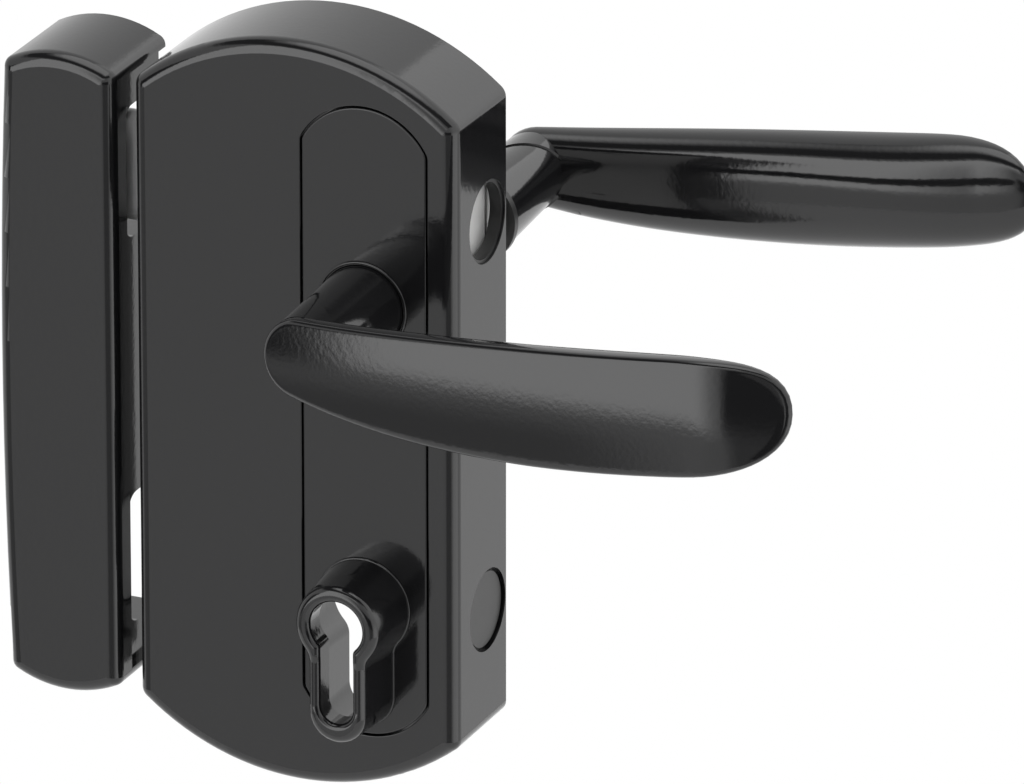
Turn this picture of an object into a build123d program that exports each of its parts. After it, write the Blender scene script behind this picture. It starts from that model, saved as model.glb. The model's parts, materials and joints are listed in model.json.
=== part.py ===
from build123d import *
import math
import os

os.makedirs("parts", exist_ok=True)

# A surface-mounted gate lock with its keep, in millimetres.
# X runs to the right, Y into the gate and Z up. The origin is on the handle axis, in the plane of the
# lock's back, which lies on the gate frame. The lock's front looks along -Y.

# Lock case
handle_to_left = 72.1
handle_to_right = 28.9
lock_depth = 36.0
side_height = 190.4
lock_middle_z = -37.2
arch_rise = 18.9
outline_corner = 4.0
front_round = 4.0
back_edge_break = 0.6
wall = 3.2

# Flush panel in the front of the case
panel_half_width = 19.85
panel_middle_x = 0.5
panel_above_shoulder = 3.0
panel_below_collar = 3.9
panel_arch_rise = 12.3
panel_corner = 4.0
panel_gap = 0.6
panel_edge_round = 0.4
window_edge_round = 0.3
flange_step = 2.5
flange_thickness = 1.8

# Profile cylinder's way and its collar
handle_to_cylinder = 92.0
keyhole_head_radius = 8.2
keyhole_stem_half = 5.2
keyhole_drop = 29.7
keyhole_blend = 2.0
collar_projection = 20.0
collar_base_radius = 14.4
collar_front_radius = 12.6
collar_base_stem_half = 9.4
collar_front_stem_half = 8.6
collar_base_drop = 36.6
collar_front_drop = 35.4
collar_blend = 6.0
collar_front_round = 2.4
collar_wall = 1.8
collar_lip = 7.5
collar_mouth_round = 1.6
collar_flange_step = 2.0
collar_flange_thickness = 1.5
collar_fit_gap = 0.05

# Bolts, both of one section with rounded top and bottom
bolt_spacing = 119.8
bolt_thickness = 17.2
bolt_height = 32.8
bolt_throw = 20.0
bolt_side_gap = 0.3
latch_projection = 20.0
latch_tail_x = -4.0
latch_bevel_length = 12.0
latch_bevel_depth = 13.0
latch_tip_round = 1.2
tail_cut_rise = 1.4
deadbolt_tail_x = -30.0
deadbolt_set_back = 0.3
deadbolt_tip_round = 1.5

# Mechanism plates and their fasteners
plate_thickness = 2.0
back_plate_recess = 1.0
plate_front_gap = 5.0
plate_left_gap = 1.1
plate_arch_gap = 0.6
plate_right_x = 24.0
plate_top_z = 55.0
plate_step_z = -81.5
plate_step_x = -28.0
plate_bottom_z = -127.0
plate_corner = 3.0
end_tab_low = 4.0
end_tab_high = 41.0
end_tab_back_y = -4.6
post_radius = 4.0
post_bore_radius = 2.2
screw_radius = 2.0
screw_head_radius = 3.9
boss_screw_depth = 5.0
thread_gap = 0.05
post_spots = [(-62, 44), (20, 46), (-62, -5), (20, -35), (-62, -60), (-62, -121)]
post_notch_gap = 0.4
fixing_post_radius = 6.0
fixing_thread_radius = 2.5
fixing_high_z = 47.5
fixing_low_z = -60.0
panel_screw_spots = [(-11, -32), (11, -58)]
panel_boss_radius = 3.6
panel_screw_head_height = 2.2

# Spindle, follower and handles
spindle_side = 8.0
square_gap = 0.05
spindle_grip = 26.0
journal_radius = 8.0
running_gap = 0.05
hub_radius = 10.0
hub_end_gap = 0.3
arm_swing = 21.0
arm_thickness = 7.0
arm_root_half = 4.0
arm_tip_half = 2.0
nose_radius = 3.5
nose_gap = 0.3
gate_thickness = 40.0
neck_radius = 12.9
neck_end_radius = 10.4
neck_end_depth = 5.0
neck_insert = 3.0
neck_length = 50.5
lever_lean = 5.5
lever_rise = 5.7
grub_radius = 3.0
grub_length = 6.0
grub_from_base = 12.0
bush_wall = 0.6
bush_proud = 0.3
bush_flange_radius = 16.5
rear_bush_floor = 1.0
rear_bush_rim = 2.4
rear_bush_spigot_radius = 9.9
rear_bush_spigot_length = 6.0
rear_bush_bore_gap = 0.3
rear_handle_gap = 0.3

# Lever, drawn in the plane of its outer face: along it from the neck, and up
root_radius = 11.7
lever_length = 153.5
lever_tip_up = -3.4
lever_waist_at = 60.0
lever_full_from_tip = 38.0
lever_top_heights = (11.4, 12.0)
lever_low_depths = (22.3, 22.6)
lever_top_slope = -1.8
lever_low_slope = 18.3
lever_tip_fullness = 1.2
lever_root_depth = 12.5
lever_middle_depth = 13.5
lever_wide_depth = 16.3
lever_bend_from_tip = 13.0
lever_bend_depth = 14.0
lever_tip_depth = 6.0
lever_crown_radius = 150.0
lever_inner_round = 7.0
lever_outer_round = 1.4
heel_start = 3.0
heel_inset = 0.6
heel_depth = 29.0
heel_low_depth = 8.0
heel_radius = 11.9

# Latch spring and the stub that centres it
spring_mean_radius = 4.0
spring_wire_radius = 0.5
spring_turns = 6
spring_z = 30.0
stub_radius = 2.6
stub_length = 4.0

# Deadbolt carriage
carriage_thickness = 3.0
carriage_right_x = 20.0
carriage_top_z = -67.0
carriage_low_z = -80.4
carriage_leg_left_x = -41.0
carriage_leg_right_x = -31.0
carriage_leg_low_z = -106.0
carriage_corner = 2.0
carriage_slot_gap = 0.2
cam_notch_x = 10.0
cam_notch_half = 4.5
cam_notch_depth = 5.0
guide_radius = 2.5
guide_x = -24.0
guide_gap = 0.3
carriage_pin_radius = 2.5
carriage_pin_z = -98.0

# Round side holes, their ring and their plug
side_hole_radius = 12.4
side_fit_gap = 0.05
side_ring_wall = 1.1
side_ring_set_back = 0.8
side_ring_length = 3.6
plug_face_radius = 11.3
plug_groove_depth = 1.4
plug_set_back = 0.9
plug_length = 3.0

# Bolt bushes in the left side
bolt_bush_wall = 1.2
bolt_bush_flange_step = 1.6
bolt_bush_set_back = 0.2

# Keep on the gate post
keep_gap = 6.4
keep_width = 35.2
keep_bow = 2.2
keep_side_height = 188.4
keep_arch_rise = 4.8
keep_corner = 3.0
keep_front_round = 4.0
keep_wall = 2.8
keep_side_wall = 4.7
keep_recess_depth = 2.2
keep_recess_from_front = 9.5
keep_recess_rim = 2.3
keep_opening_height = 40.4
keep_opening_corner = 5.5
keep_opening_side_gap = 1.3
keep_rib_thickness = 2.0
keep_rib_root = 1.4
keep_boss_radius = 6.5
keep_insert_radius = 4.5
keep_insert_length = 14.0
keep_insert_depth = 6.0
keep_bolt_spacing = 60.0
strike_bar_thickness = 3.0
strike_bar_width = 5.0

# Worked out from the sizes above
left_x = -handle_to_left
right_x = handle_to_right
front_y = -lock_depth
panel_back_y = front_y + wall
flange_back_y = panel_back_y + flange_thickness
low_z = lock_middle_z - side_height / 2
high_z = lock_middle_z + side_height / 2
cylinder_z = -handle_to_cylinder
panel_top = high_z + panel_above_shoulder
panel_bottom = cylinder_z - collar_base_drop - panel_below_collar
latch_z = lock_middle_z + bolt_spacing / 2
deadbolt_z = lock_middle_z - bolt_spacing / 2
latch_tip_x = left_x - latch_projection
deadbolt_tip_x = left_x + deadbolt_set_back
room_for_plates = lock_depth - wall - flange_thickness - plate_front_gap - back_plate_recess
plate_spacing = room_for_plates - 2 * plate_thickness
bolt_from_back = back_plate_recess + plate_thickness + plate_spacing / 2
bolt_y = -bolt_from_back
back_plate_rear_y = -back_plate_recess
back_plate_front_y = back_plate_rear_y - plate_thickness
front_plate_rear_y = back_plate_front_y - plate_spacing
front_plate_front_y = front_plate_rear_y - plate_thickness
plate_left_x = left_x + wall + plate_left_gap
boss_length = front_plate_front_y - panel_back_y
arm_reach = bolt_throw / (2 * math.sin(math.radians(arm_swing)))
nose_x = -bolt_throw / 2
nose_z = arm_reach * math.cos(math.radians(arm_swing))
tail_cut_z = nose_z - nose_radius + tail_cut_rise
end_tab_left_x = plate_right_x - plate_thickness
front_base_y = front_y + neck_insert
front_face_y = front_base_y - neck_length
rear_base_y = gate_thickness + rear_bush_floor + rear_handle_gap
keep_right_x = left_x - keep_gap
keep_left_x = keep_right_x - keep_width
keep_low_z = lock_middle_z - keep_side_height / 2
keep_high_z = lock_middle_z + keep_side_height / 2
keep_inner_right_x = keep_right_x - keep_side_wall
keep_middle_x = (keep_inner_right_x + keep_left_x + keep_wall) / 2
keep_opening_half = bolt_thickness / 2 + keep_opening_side_gap
cut = 1.0


def facing(y):
    """The plane at depth y that looks out of the front, with X across and Z up."""
    return Plane.XZ.offset(-y)


def sideways(x):
    """The plane at x that looks to the right, with Y across and Z up."""
    return Plane.YZ.offset(x)


def arched(left, right, low, high, rise, corner):
    """An upright outline with an arc over its top and one under its bottom."""
    middle = (left + right) / 2
    with BuildLine() as outline:
        Line((left, low), (left, high))
        ThreePointArc((left, high), (middle, high + rise), (right, high))
        Line((right, high), (right, low))
        ThreePointArc((right, low), (middle, low - rise), (left, low))
    shape = make_face(outline.edges())
    fillet(shape.vertices(), corner)


def case_outline():
    """The outline of the lock case."""
    arched(left_x, right_x, low_z, high_z, arch_rise, outline_corner)


def panel_outline(grow):
    """The outline of the flush panel, made larger by grow."""
    half = panel_half_width + grow
    arched(panel_middle_x - half, panel_middle_x + half,
           panel_bottom + panel_arch_rise, panel_top - panel_arch_rise,
           panel_arch_rise + grow, panel_corner)


def keyhole(head, stem, drop, blend):
    """A round head on the cylinder axis with a round-ended stem below it, blended where they meet."""
    blend_x = stem + blend
    blend_z = -math.sqrt((head + blend) ** 2 - blend_x ** 2)
    touch_x = blend_x * head / (head + blend)
    touch_z = cylinder_z + blend_z * head / (head + blend)
    turn = (math.atan2(-blend_z, -blend_x) + math.pi) / 2
    middle_x = blend_x + blend * math.cos(turn)
    middle_z = blend_z + blend * math.sin(turn)
    c = cylinder_z
    with BuildLine() as outline:
        ThreePointArc((touch_x, touch_z), (0, c + head), (-touch_x, touch_z))
        ThreePointArc((-touch_x, touch_z), (-middle_x, c + middle_z), (-stem, c + blend_z))
        Line((-stem, c + blend_z), (-stem, c - drop + stem))
        ThreePointArc((-stem, c - drop + stem), (0, c - drop), (stem, c - drop + stem))
        Line((stem, c - drop + stem), (stem, c + blend_z))
        ThreePointArc((stem, c + blend_z), (middle_x, c + middle_z), (touch_x, touch_z))
    make_face(outline.edges())


def bolt_section(z, grow):
    """The section of a bolt at height z, made larger by grow all round."""
    with Locations((bolt_y, z)):
        SlotOverall(bolt_height + 2 * grow, bolt_thickness + 2 * grow, rotation=90)


def plate_outline():
    """Both mechanism plates: full width above the cylinder, a strip on the left, all inside the case."""
    with BuildLine() as outline:
        Polyline(
            (plate_left_x, plate_top_z),
            (plate_right_x, plate_top_z),
            (plate_right_x, plate_step_z),
            (plate_step_x, plate_step_z),
            (plate_step_x, plate_bottom_z),
            (plate_left_x, plate_bottom_z),
            close=True,
        )
    shape = make_face(outline.edges())
    fillet(shape.vertices(), plate_corner)
    with BuildSketch(mode=Mode.PRIVATE) as room_in_case:
        case_outline()
        offset(amount=-(wall + plate_arch_gap))
    add(room_in_case.sketch_local, mode=Mode.INTERSECT)


# Case: a hollow casting, open behind
with BuildPart() as housing:
    with BuildSketch(facing(0)):
        case_outline()
    extrude(amount=lock_depth)
    fillet(housing.faces().sort_by(Axis.Y)[0].edges(), front_round)
    chamfer(housing.faces().sort_by(Axis.Y)[-1].edges(), back_edge_break)
    with BuildSketch(facing(0)):
        case_outline()
        offset(amount=-wall)
    extrude(amount=lock_depth - wall, mode=Mode.SUBTRACT)
    with BuildSketch(facing(panel_back_y + cut)):
        panel_outline(0)
    extrude(amount=wall + 2 * cut, mode=Mode.SUBTRACT)
    fillet(housing.faces().sort_by(Axis.Y)[0].inner_wires()[0].edges(), window_edge_round)
    with BuildSketch(facing(panel_back_y)):
        with Locations(*post_spots):
            Circle(post_radius)
    extrude(amount=-boss_length)
    with BuildSketch(facing(front_plate_front_y)):
        with Locations(*post_spots):
            Circle(screw_radius + thread_gap)
    extrude(amount=boss_screw_depth + cut, mode=Mode.SUBTRACT)
    with BuildSketch(sideways(right_x + cut)):
        with Locations((bolt_y, latch_z), (bolt_y, deadbolt_z)):
            Circle(side_hole_radius)
    extrude(amount=-(wall + 2 * cut), mode=Mode.SUBTRACT)
    with BuildSketch(sideways(left_x - cut)):
        bolt_section(latch_z, running_gap + bolt_bush_wall)
        bolt_section(deadbolt_z, running_gap + bolt_bush_wall)
    extrude(amount=wall + 2 * cut, mode=Mode.SUBTRACT)
housing.part.label = "housing"
export_step(housing.part, "parts/housing.step")

# Flush panel: its flange lies behind the edge of the window, and two bosses take its screws
with BuildPart() as front_panel:
    with BuildSketch(facing(panel_back_y)):
        panel_outline(-panel_gap)
    extrude(amount=wall)
    fillet(front_panel.faces().sort_by(Axis.Y)[0].edges(), panel_edge_round)
    with BuildSketch(facing(flange_back_y)):
        panel_outline(flange_step)
        with Locations(*post_spots):
            Circle(post_radius + post_notch_gap, mode=Mode.SUBTRACT)
    extrude(amount=flange_thickness)
    with BuildSketch(facing(front_plate_front_y)):
        with Locations(*panel_screw_spots):
            Circle(panel_boss_radius)
    extrude(amount=front_plate_front_y - flange_back_y)
    with BuildSketch(facing(front_plate_front_y)):
        with Locations(*panel_screw_spots):
            Circle(screw_radius + thread_gap)
    extrude(amount=boss_screw_depth + cut, mode=Mode.SUBTRACT)
    with BuildSketch(facing(flange_back_y + cut)):
        Circle(neck_radius + running_gap + bush_wall)
        keyhole(collar_base_radius + collar_fit_gap, collar_base_stem_half + collar_fit_gap,
                collar_base_drop + collar_fit_gap, collar_blend)
    extrude(amount=wall + flange_thickness + 2 * cut, mode=Mode.SUBTRACT)
front_panel.part.label = "front_panel"
export_step(front_panel.part, "parts/front_panel.step")

# Bush that the front handle's neck turns in
with BuildPart() as handle_bush:
    with BuildSketch(facing(flange_back_y)):
        Circle(neck_radius + running_gap + bush_wall)
    extrude(amount=wall + flange_thickness + bush_proud)
    with BuildSketch(facing(flange_back_y + collar_flange_thickness)):
        Circle(bush_flange_radius)
    extrude(amount=collar_flange_thickness)
    with BuildSketch(facing(flange_back_y + collar_flange_thickness + cut)):
        Circle(neck_radius + running_gap)
    extrude(amount=lock_depth, mode=Mode.SUBTRACT)
handle_bush.part.label = "handle_bush"
export_step(handle_bush.part, "parts/handle_bush.step")

# Collar over the cylinder's way: tapered outside, thin-walled, with a deep rounded lip at its mouth
with BuildPart() as cylinder_collar:
    with BuildSketch(facing(front_y)):
        keyhole(collar_base_radius, collar_base_stem_half, collar_base_drop, collar_blend)
    with BuildSketch(facing(front_y - collar_projection)):
        keyhole(collar_front_radius, collar_front_stem_half, collar_front_drop, collar_blend)
    loft()
    fillet(cylinder_collar.faces().sort_by(Axis.Y)[0].edges(), collar_front_round)
    with BuildSketch(facing(flange_back_y)):
        keyhole(collar_base_radius, collar_base_stem_half, collar_base_drop, collar_blend)
    extrude(amount=wall + flange_thickness)
    with BuildSketch(facing(flange_back_y + collar_flange_thickness)):
        keyhole(collar_base_radius + collar_flange_step, collar_base_stem_half + collar_flange_step,
                collar_base_drop + collar_flange_step, collar_blend)
    extrude(amount=collar_flange_thickness)
    with BuildSketch(facing(flange_back_y + collar_flange_thickness + cut)):
        keyhole(collar_base_radius - collar_wall, collar_base_stem_half - collar_wall,
                collar_base_drop - collar_wall, collar_blend)
    with BuildSketch(facing(front_y - collar_projection + collar_lip)):
        keyhole(collar_front_radius - collar_wall, collar_front_stem_half - collar_wall,
                collar_front_drop - collar_wall, collar_blend)
    loft(mode=Mode.SUBTRACT)
    with BuildSketch(facing(front_y - collar_projection + collar_lip + cut)):
        keyhole(keyhole_head_radius, keyhole_stem_half, keyhole_drop, keyhole_blend)
    extrude(amount=collar_lip + 2 * cut, mode=Mode.SUBTRACT)
    mouth = cylinder_collar.faces().sort_by(Axis.Y)[0].inner_wires()[0]
    fillet(mouth.edges(), collar_mouth_round)
cylinder_collar.part.label = "cylinder_collar"
export_step(cylinder_collar.part, "parts/cylinder_collar.step")

# Front plate of the mechanism, with a tab bent back behind the upper side hole
with BuildPart() as front_plate:
    with BuildSketch(facing(front_plate_rear_y)):
        plate_outline()
        Circle(journal_radius + running_gap, mode=Mode.SUBTRACT)
        with Locations(*post_spots, *panel_screw_spots):
            Circle(screw_radius + thread_gap, mode=Mode.SUBTRACT)
    extrude(amount=plate_thickness)
    with BuildSketch(sideways(end_tab_left_x)):
        with BuildLine():
            Polyline(
                (front_plate_front_y, end_tab_low),
                (end_tab_back_y, end_tab_low),
                (end_tab_back_y, end_tab_high),
                (front_plate_front_y, end_tab_high),
                close=True,
            )
        make_face()
    extrude(amount=plate_thickness)
front_plate.part.label = "front_plate"
export_step(front_plate.part, "parts/front_plate.step")

# Back plate of the mechanism, countersunk for the screws
with BuildPart() as back_plate:
    with BuildSketch(facing(back_plate_rear_y)):
        plate_outline()
        Circle(journal_radius + running_gap, mode=Mode.SUBTRACT)
        with Locations((0, fixing_high_z), (0, fixing_low_z)):
            Circle(fixing_post_radius + thread_gap, mode=Mode.SUBTRACT)
        with Locations(*post_spots):
            Circle(screw_radius + thread_gap, mode=Mode.SUBTRACT)
    extrude(amount=plate_thickness)
    for x, z in post_spots:
        with BuildSketch(facing(back_plate_rear_y)):
            with Locations((x, z)):
                Circle(screw_head_radius)
        with BuildSketch(facing(back_plate_rear_y - screw_head_radius + screw_radius)):
            with Locations((x, z)):
                Circle(screw_radius)
        loft(mode=Mode.SUBTRACT)
back_plate.part.label = "back_plate"
export_step(back_plate.part, "parts/back_plate.step")

# Sleeves that hold the plates apart
with BuildPart() as plate_posts:
    with BuildSketch(facing(back_plate_front_y)):
        with Locations(*post_spots):
            Circle(post_radius)
            Circle(post_bore_radius, mode=Mode.SUBTRACT)
    extrude(amount=plate_spacing)
plate_posts.part.label = "plate_posts"
export_step(plate_posts.part, "parts/plate_posts.step")

# Countersunk screws through both plates into the case
screw_length = boss_screw_depth + 2 * plate_thickness + plate_spacing
with BuildPart() as plate_screws:
    for x, z in post_spots:
        with BuildSketch(facing(back_plate_rear_y)):
            with Locations((x, z)):
                Circle(screw_radius)
        extrude(amount=screw_length)
        with BuildSketch(facing(back_plate_rear_y)):
            with Locations((x, z)):
                Circle(screw_head_radius)
        with BuildSketch(facing(back_plate_rear_y - screw_head_radius + screw_radius)):
            with Locations((x, z)):
                Circle(screw_radius)
        loft()
plate_screws.part.label = "plate_screws"
export_step(plate_screws.part, "parts/plate_screws.step")

# Screws that hold the flush panel to the front plate
with BuildPart() as panel_screws:
    with BuildSketch(facing(front_plate_rear_y)):
        with Locations(*panel_screw_spots):
            Circle(screw_radius)
    extrude(amount=plate_thickness + boss_screw_depth)
    with BuildSketch(facing(front_plate_rear_y)):
        with Locations(*panel_screw_spots):
            Circle(screw_head_radius)
    extrude(amount=-panel_screw_head_height)
panel_screws.part.label = "panel_screws"
export_step(panel_screws.part, "parts/panel_screws.step")

# Threaded posts for the two bolts that come through the gate frame
with BuildPart() as fixing_posts:
    with BuildSketch(facing(back_plate_rear_y)):
        with Locations((0, fixing_high_z), (0, fixing_low_z)):
            Circle(fixing_post_radius)
    extrude(amount=plate_thickness + plate_spacing)
    with BuildSketch(facing(back_plate_rear_y + cut)):
        with Locations((0, fixing_high_z), (0, fixing_low_z)):
            Circle(fixing_thread_radius)
    extrude(amount=plate_thickness + plate_spacing, mode=Mode.SUBTRACT)
fixing_posts.part.label = "fixing_posts"
export_step(fixing_posts.part, "parts/fixing_posts.step")

# Square spindle from handle to handle
spindle_front_y = front_base_y - spindle_grip
spindle_rear_y = rear_base_y + spindle_grip
with BuildPart() as spindle:
    with BuildSketch(facing(spindle_rear_y)):
        Rectangle(spindle_side, spindle_side)
    extrude(amount=spindle_rear_y - spindle_front_y)
spindle.part.label = "spindle"
export_step(spindle.part, "parts/spindle.step")

# Follower: a hub with journals in both plates and an arm whose round nose moves the latch bolt
hub_length = plate_spacing - 2 * hub_end_gap
swing = math.radians(arm_swing)
across = (math.cos(swing), math.sin(swing))
with BuildPart() as follower:
    with BuildSketch(facing(back_plate_rear_y)):
        Circle(journal_radius)
    extrude(amount=plate_spacing + 2 * plate_thickness)
    with BuildSketch(facing(back_plate_front_y - hub_end_gap)):
        Circle(hub_radius)
    extrude(amount=hub_length)
    with BuildSketch(facing(bolt_y + arm_thickness / 2)):
        with BuildLine():
            Polyline(
                (-arm_root_half * across[0], -arm_root_half * across[1]),
                (nose_x - arm_tip_half * across[0], nose_z - arm_tip_half * across[1]),
                (nose_x + arm_tip_half * across[0], nose_z + arm_tip_half * across[1]),
                (arm_root_half * across[0], arm_root_half * across[1]),
                close=True,
            )
        make_face()
        with Locations((nose_x, nose_z)):
            Circle(nose_radius)
    extrude(amount=arm_thickness)
    with BuildSketch(facing(back_plate_rear_y + cut)):
        Rectangle(spindle_side + 2 * square_gap, spindle_side + 2 * square_gap)
    extrude(amount=lock_depth, mode=Mode.SUBTRACT)
follower.part.label = "follower"
export_step(follower.part, "parts/follower.step")


# Where the levers lie, and the ends of their outline
lean = math.radians(lever_lean)
rise = math.radians(lever_rise)
lever_way = Vector(math.cos(lean) * math.cos(rise), -math.sin(lean), math.cos(lean) * math.sin(rise))
lever_up = Vector(-math.sin(rise), 0, math.cos(rise))
lever_face = Plane(origin=(0, front_face_y, 0), x_dir=lever_way, z_dir=lever_way.cross(lever_up))
lever_plan = Plane(origin=lever_face.origin, x_dir=lever_way, z_dir=lever_face.y_dir)
lever_end = Plane(origin=lever_face.origin, x_dir=lever_face.y_dir, z_dir=lever_way)
tip = (lever_length, lever_tip_up)
lever_full_at = lever_length - lever_full_from_tip
lever_bend_at = lever_length - lever_bend_from_tip
crown_half = 2 * root_radius
crown_drop = lever_crown_radius - math.sqrt(lever_crown_radius ** 2 - crown_half ** 2)
top_way = (math.cos(math.radians(lever_top_slope)), math.sin(math.radians(lever_top_slope)))
low_way = (math.cos(math.radians(lever_low_slope)), -math.sin(math.radians(lever_low_slope)))
top_root = (-root_radius * top_way[1], root_radius * top_way[0])
low_root = (root_radius * low_way[1], -root_radius * low_way[0])
lever_top_points = [(lever_waist_at, lever_top_heights[0]), (lever_full_at, lever_top_heights[1])]
lever_low_points = [(lever_full_at, -lever_low_depths[1]), (lever_waist_at, -lever_low_depths[0])]

# Heel: the root's round end runs back along the neck and meets it in a slanted crease
with BuildPart() as heel:
    with BuildSketch(facing(front_face_y + heel_start)):
        Circle(root_radius - heel_inset)
    with BuildSketch(facing(front_face_y + heel_depth)):
        Circle(heel_radius)
    loft()
    with BuildSketch(Plane.XY):
        with BuildLine():
            Polyline(
                (-heel_radius - cut, front_face_y),
                (-heel_radius - cut, front_face_y + heel_depth),
                (heel_radius + cut, front_face_y + heel_low_depth),
                (heel_radius + cut, front_face_y),
                close=True,
            )
        make_face()
    extrude(amount=2 * root_radius, both=True, mode=Mode.INTERSECT)

# Lever, common to both handles: its outer face is slightly crowned, its inner side well rounded
with BuildPart() as lever:
    with BuildSketch(lever_face.offset(lever_outer_round)):
        with BuildLine():
            ThreePointArc(low_root, (-root_radius, 0), top_root)
            Spline(top_root, *lever_top_points, tip, tangents=(top_way, (0, -1)),
                   tangent_scalars=(1, lever_tip_fullness))
            Spline(tip, *lever_low_points, low_root, tangents=((0, -1), (-low_way[0], -low_way[1])),
                   tangent_scalars=(lever_tip_fullness, 1))
        make_face()
    extrude(amount=-2 * lever_wide_depth)
    with BuildSketch(lever_plan):
        with BuildLine():
            Line((-root_radius - cut, lever_root_depth), (-root_radius - cut, -cut))
            Line((-root_radius - cut, -cut), (lever_length + cut, -cut))
            Line((lever_length + cut, -cut), (lever_length + cut, lever_tip_depth))
            Spline((lever_length + cut, lever_tip_depth), (lever_bend_at, lever_bend_depth),
                   (lever_full_at, lever_wide_depth), (lever_waist_at, lever_middle_depth),
                   (-root_radius - cut, lever_root_depth))
        make_face()
    extrude(amount=2 * root_radius, both=True, mode=Mode.INTERSECT)
    with BuildSketch(lever_end):
        with BuildLine():
            ThreePointArc((-crown_half, -crown_drop), (0, 0), (crown_half, -crown_drop))
            Line((crown_half, -crown_drop), (crown_half, -2 * lever_wide_depth))
            Line((crown_half, -2 * lever_wide_depth), (-crown_half, -2 * lever_wide_depth))
            Line((-crown_half, -2 * lever_wide_depth), (-crown_half, -crown_drop))
        make_face()
    extrude(amount=2 * lever_length, both=True, mode=Mode.INTERSECT)
    outward_axis = Axis(lever_face.origin, lever_face.z_dir)
    fillet(lever.faces().sort_by(outward_axis)[0].edges(), lever_inner_round)
    fillet(lever.faces().sort_by(outward_axis)[-1].edges(), lever_outer_round)
    add(heel.part)


def lever_handle(side, base_y, lever_part):
    """A lever on a tapered round neck. Side is -1 in front of the gate and 1 behind it."""
    outward = Plane(origin=(0, base_y, 0), x_dir=(1, 0, 0), z_dir=(0, side, 0))
    with BuildPart() as handle:
        with BuildSketch(outward):
            Circle(neck_radius)
        with BuildSketch(outward.offset(neck_length - neck_end_depth)):
            Circle(neck_end_radius)
        loft()
        add(lever_part)
        with BuildSketch(outward.offset(-cut)):
            Rectangle(spindle_side + 2 * square_gap, spindle_side + 2 * square_gap)
        extrude(amount=spindle_grip + 2 * cut, mode=Mode.SUBTRACT)
        with BuildSketch(Plane(origin=(0, base_y + side * grub_from_base, 0), x_dir=(1, 0, 0), z_dir=(0, 0, -1))):
            Circle(grub_radius + thread_gap)
        extrude(amount=2 * neck_radius, mode=Mode.SUBTRACT)
    return handle


# Front handle
handle_front = lever_handle(-1, front_base_y, lever.part)
handle_front.part.label = "handle_front"
export_step(handle_front.part, "parts/handle_front.step")

# Rear handle
between = (front_base_y + rear_base_y) / 2
handle_rear = lever_handle(1, rear_base_y, lever.part.mirror(facing(between)))
handle_rear.part.label = "handle_rear"
export_step(handle_rear.part, "parts/handle_rear.step")

# Grub screws that clamp the handles on the spindle
with BuildPart() as handle_screws:
    for y in (front_base_y - grub_from_base, rear_base_y + grub_from_base):
        with BuildSketch(Plane(origin=(0, y, -spindle_side / 2), x_dir=(1, 0, 0), z_dir=(0, 0, -1))):
            Circle(grub_radius)
        extrude(amount=grub_length)
handle_screws.part.label = "handle_screws"
export_step(handle_screws.part, "parts/handle_screws.step")

# Bush for the rear handle in the far face of the gate frame
with BuildPart() as rear_bush:
    with BuildSketch(facing(gate_thickness + rear_bush_rim)):
        Circle(neck_radius + running_gap + bush_wall)
    extrude(amount=rear_bush_rim)
    with BuildSketch(facing(gate_thickness)):
        Circle(rear_bush_spigot_radius)
    extrude(amount=rear_bush_spigot_length)
    with BuildSketch(facing(gate_thickness + rear_bush_rim + cut)):
        Circle(neck_radius + running_gap)
    extrude(amount=rear_bush_rim + cut - rear_bush_floor, mode=Mode.SUBTRACT)
    with BuildSketch(facing(gate_thickness + rear_bush_rim)):
        Circle(spindle_side / math.sqrt(2) + rear_bush_bore_gap)
    extrude(amount=lock_depth, mode=Mode.SUBTRACT)
rear_bush.part.label = "rear_bush"
export_step(rear_bush.part, "parts/rear_bush.step")

# Latch bolt: bevelled tip, tail cut away below for the follower, slot for its nose, stub for the spring
slot_half = nose_radius + nose_gap
hub_clear = hub_radius + nose_gap + bolt_side_gap
with BuildPart() as latch_bolt:
    with BuildSketch(sideways(latch_tip_x)):
        bolt_section(latch_z, 0)
    extrude(amount=latch_tail_x - latch_tip_x)
    with BuildSketch(Plane.XY.offset(latch_z - bolt_height)):
        with BuildLine():
            Polyline(
                (latch_tip_x - cut, bolt_y + bolt_thickness / 2 + cut),
                (latch_tip_x + latch_bevel_length, bolt_y + bolt_thickness / 2 + cut),
                (latch_tip_x + latch_bevel_length, bolt_y + bolt_thickness / 2),
                (latch_tip_x, bolt_y + bolt_thickness / 2 - latch_bevel_depth),
                (latch_tip_x - cut, bolt_y + bolt_thickness / 2 - latch_bevel_depth),
                close=True,
            )
        make_face()
    extrude(amount=2 * bolt_height, mode=Mode.SUBTRACT)
    fillet(latch_bolt.faces().sort_by(Axis.X)[0].edges(), latch_tip_round)
    with BuildSketch(facing(0)):
        with BuildLine():
            Polyline(
                (-bolt_throw - hub_clear, latch_z - bolt_height),
                (-bolt_throw - hub_clear, hub_clear),
                (nose_x - hub_radius - nose_gap, hub_clear),
                (nose_x - hub_radius - nose_gap, tail_cut_z),
                (latch_tail_x + cut, tail_cut_z),
                (latch_tail_x + cut, latch_z - bolt_height),
                close=True,
            )
        make_face()
    extrude(amount=lock_depth, mode=Mode.SUBTRACT)
    with BuildSketch(facing(bolt_y + arm_thickness / 2 + nose_gap)):
        with Locations((nose_x, tail_cut_z)):
            Rectangle(2 * slot_half, 2 * (arm_reach + slot_half - tail_cut_z))
    extrude(amount=arm_thickness + 2 * nose_gap, mode=Mode.SUBTRACT)
    with BuildSketch(sideways(latch_tail_x)):
        with Locations((bolt_y, spring_z)):
            Circle(stub_radius)
    extrude(amount=stub_length)
latch_bolt.part.label = "latch_bolt"
export_step(latch_bolt.part, "parts/latch_bolt.step")


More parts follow.
